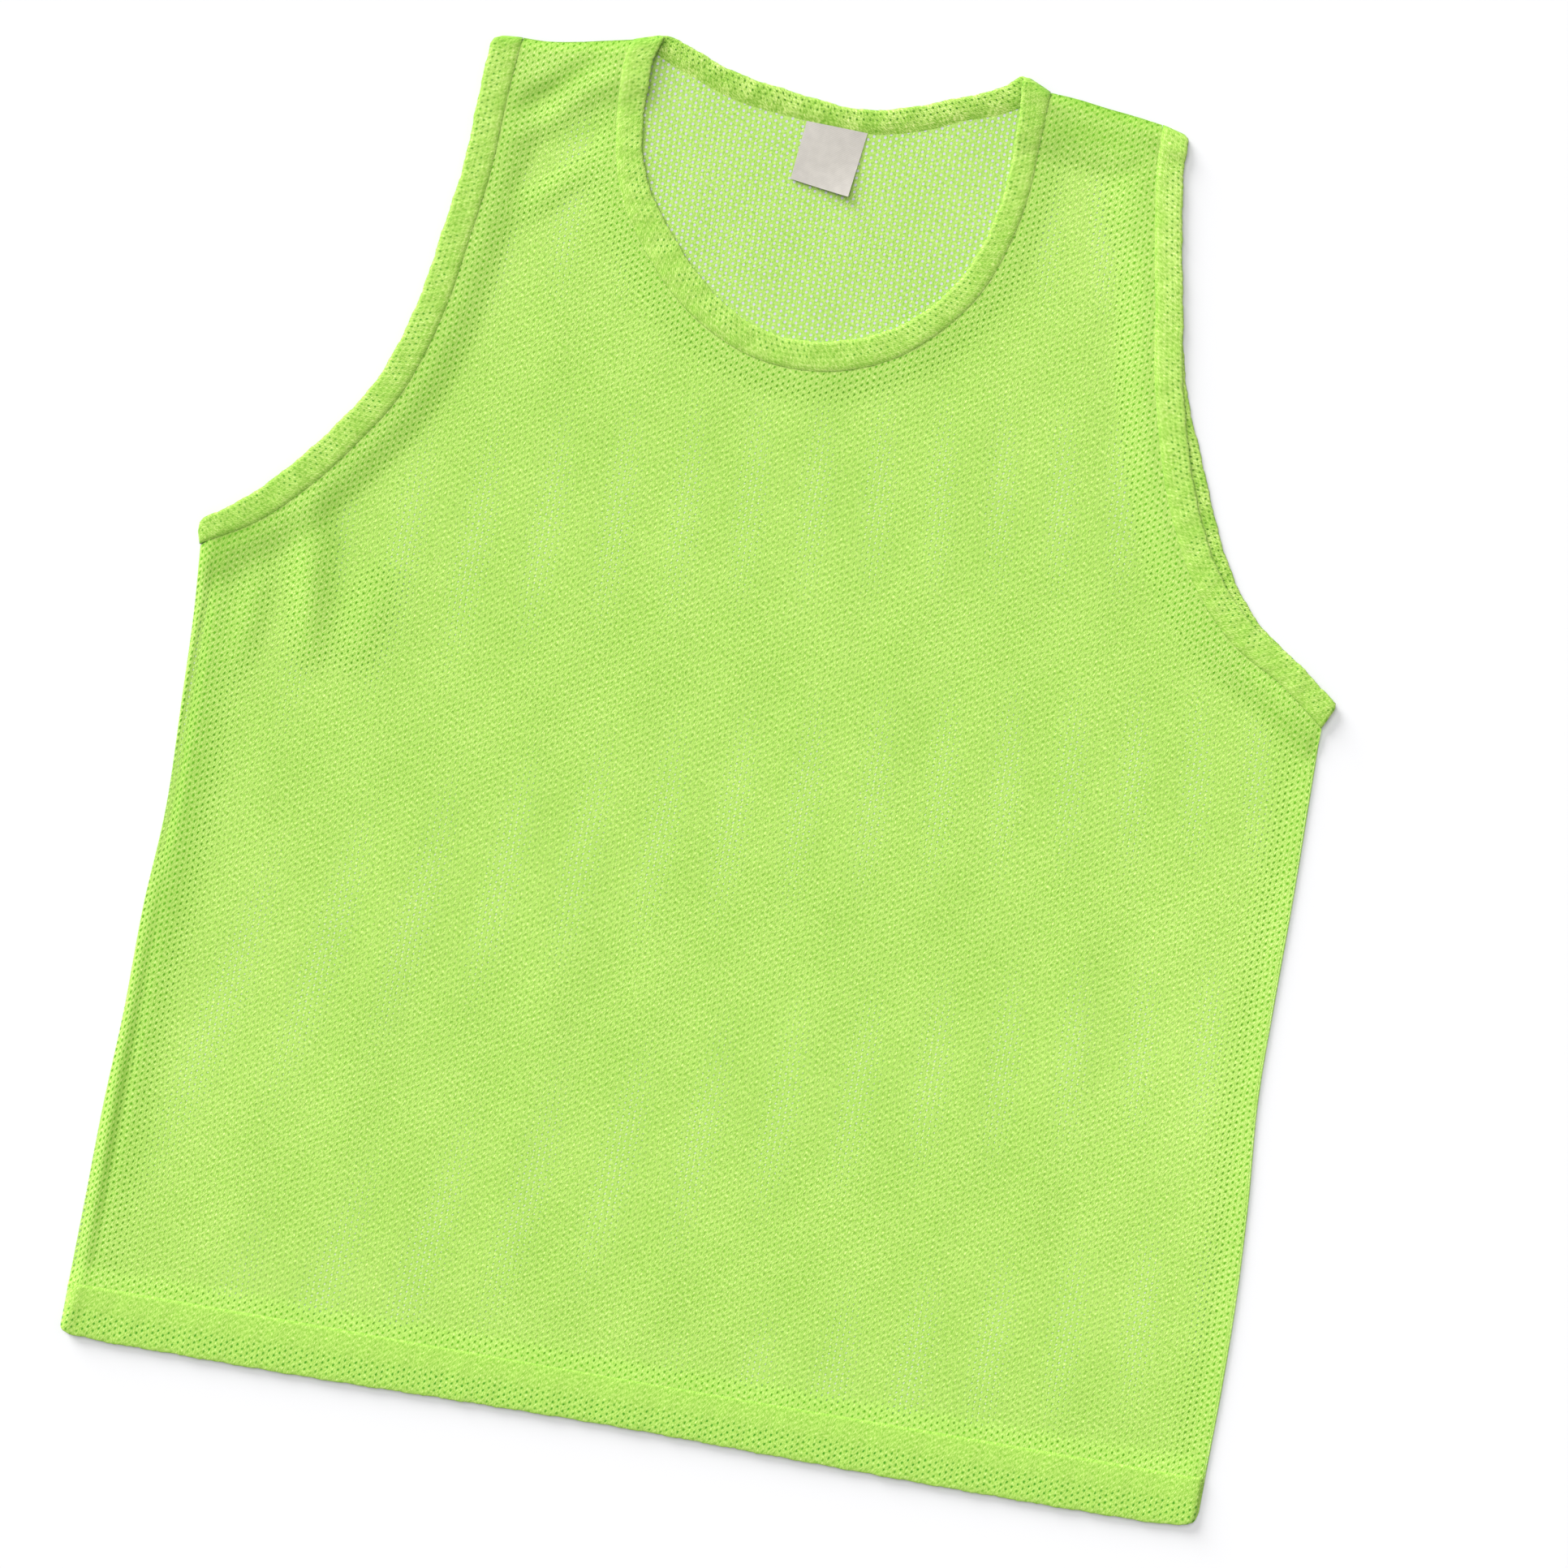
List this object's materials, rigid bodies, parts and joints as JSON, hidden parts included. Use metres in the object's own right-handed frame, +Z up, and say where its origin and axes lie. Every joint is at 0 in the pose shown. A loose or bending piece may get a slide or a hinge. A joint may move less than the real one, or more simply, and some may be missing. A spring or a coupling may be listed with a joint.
{
  "type": "training bib",
  "caption": "Sleeveless mesh training bib laid flat on its back, with a scooped neck, bound armholes, a turned-up hem and a small neck label",
  "frame": {"origin": "Middle of the outline, on the surface that the bib lies on", "axes": "+X to the right across the front as seen, +Y from the hem to the neck, +Z up through the layers"},
  "size_m": [0.5028, 0.6106, 0.0059],
  "materials": {
    "mesh_cloth": "single layer of open polyester mesh, yellow-green, matt with a faint sheen",
    "doubled_mesh": "the same mesh folded double in bands and hems, a little darker",
    "label_satin": "bare pale grey satin ribbon"
  },
  "bodies": {
    "root": {"back_panel": "mesh_cloth", "front_panel": "mesh_cloth", "hem_back": "doubled_mesh", "hem_front": "doubled_mesh", "neck_band_back": "doubled_mesh", "neck_band_front": "doubled_mesh", "armhole_band_left_back": "doubled_mesh", "armhole_band_left_front": "doubled_mesh", "armhole_band_right_back": "doubled_mesh", "armhole_band_right_front": "doubled_mesh", "label": "label_satin"}
  },
  "joints": []
}
